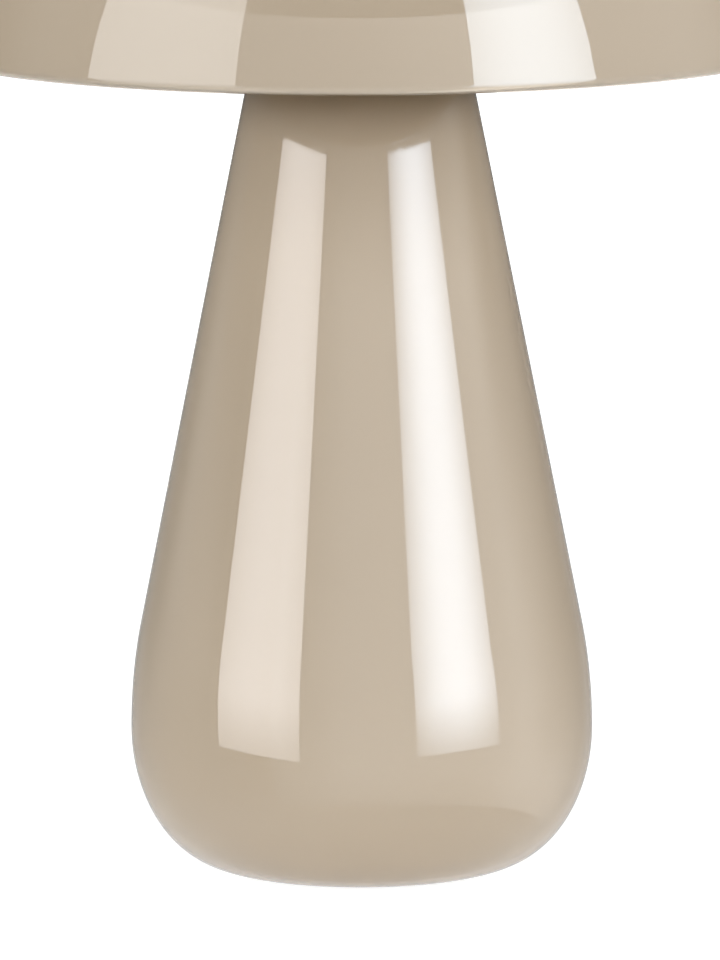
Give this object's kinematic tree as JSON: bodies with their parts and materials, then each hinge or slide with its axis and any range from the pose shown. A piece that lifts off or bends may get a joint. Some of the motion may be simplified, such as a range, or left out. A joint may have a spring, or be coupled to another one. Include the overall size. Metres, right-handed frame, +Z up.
{
  "type": "dome table lamp",
  "caption": "Table lamp with a tall teardrop base and a lift-off dome shade, glossy beige enamel, with a lampholder, turn switch and bulb inside the shade.",
  "frame": {"origin": "centre of the lamp's underside, on the surface that it stands on", "axes": "+Z up along the lamp's axis, -Y to the front where the switch knob points, +Y to the back where the cord comes in"},
  "size_m": [0.3085, 0.3084, 0.4259],
  "materials": {
    "beige_enamel": "high-gloss baked enamel, warm beige",
    "foot_rubber": "moulded rubber sheet, matt",
    "zinc_steel": "zinc-plated, dull",
    "cast_weight": "as cast, dark, under a thin primer",
    "nickel_steel": "satin nickel plate",
    "silicone": "translucent silicone, matt",
    "gland_nylon": "nylon, fine matt",
    "block_plastic": "white polyamide",
    "plain_brass": "bright turned brass",
    "brown_insulation": "soft wire insulation",
    "blue_insulation": "soft wire insulation",
    "earth_insulation": "green and yellow wire insulation",
    "liner_card": "varnished pressboard",
    "phenolic": "moulded phenolic, half gloss",
    "bulb_white": "white moulded plastic",
    "opal_diffuser": "opal, satin",
    "cap_metal": "nickel-plated screw cap",
    "black_insulator": "black insulating bead"
  },
  "bodies": {
    "lamp_base": {"base_shell": "beige_enamel", "neck_cap": "beige_enamel", "base_pad": "foot_rubber", "base_plate": "zinc_steel", "base_plate_screws": "zinc_steel", "ballast": "cast_weight", "stem_tube": "zinc_steel", "stem_washer": "zinc_steel", "stem_nut": "zinc_steel", "neck_nut": "zinc_steel", "carrier_hub": "nickel_steel", "cord_gland": "gland_nylon", "cord_gland_nut": "gland_nylon", "terminal_block": "block_plastic", "terminal_sleeves": "plain_brass", "terminal_screws": "zinc_steel", "block_fixing_screws": "zinc_steel", "earth_lug": "plain_brass", "earth_screw": "zinc_steel", "live_wire": "brown_insulation", "neutral_wire": "blue_insulation", "earth_wire": "earth_insulation", "socket_cap": "nickel_steel", "socket_lock_screw": "zinc_steel", "socket_shell": "nickel_steel", "socket_liner": "liner_card", "socket_body": "phenolic", "screw_shell": "plain_brass", "centre_contact": "plain_brass", "switch_blade": "plain_brass", "socket_terminal_screws": "plain_brass", "carrier_arm_1": "nickel_steel", "carrier_bush_1": "silicone", "carrier_arm_2": "nickel_steel", "carrier_bush_2": "silicone", "carrier_arm_3": "nickel_steel", "carrier_bush_3": "silicone"},
    "shade": {"shade_dome": "beige_enamel", "shade_lug_1": "beige_enamel", "shade_lug_2": "beige_enamel", "shade_lug_3": "beige_enamel"},
    "bulb": {"bulb_cap": "cap_metal", "bulb_insulator": "black_insulator", "bulb_contact": "cap_metal", "bulb_housing": "bulb_white", "bulb_diffuser": "opal_diffuser"},
    "switch": {"switch_knob": "phenolic", "switch_spindle": "plain_brass", "switch_cam": "block_plastic"}
  },
  "joints": [
    {"name": "shade_lift", "type": "slide", "parent": "lamp_base", "child": "shade", "axis": [0, 0, 1], "range_m": [0, 0.15]},
    {"name": "bulb_withdraw", "type": "slide", "parent": "lamp_base", "child": "bulb", "axis": [0, 0, 1], "range_m": [0, 0.022]},
    {"name": "switch_turn", "type": "hinge", "parent": "lamp_base", "child": "switch", "pos_m": [0, 0, 0.312], "axis": [0, -1, 0], "continuous": true}
  ]
}
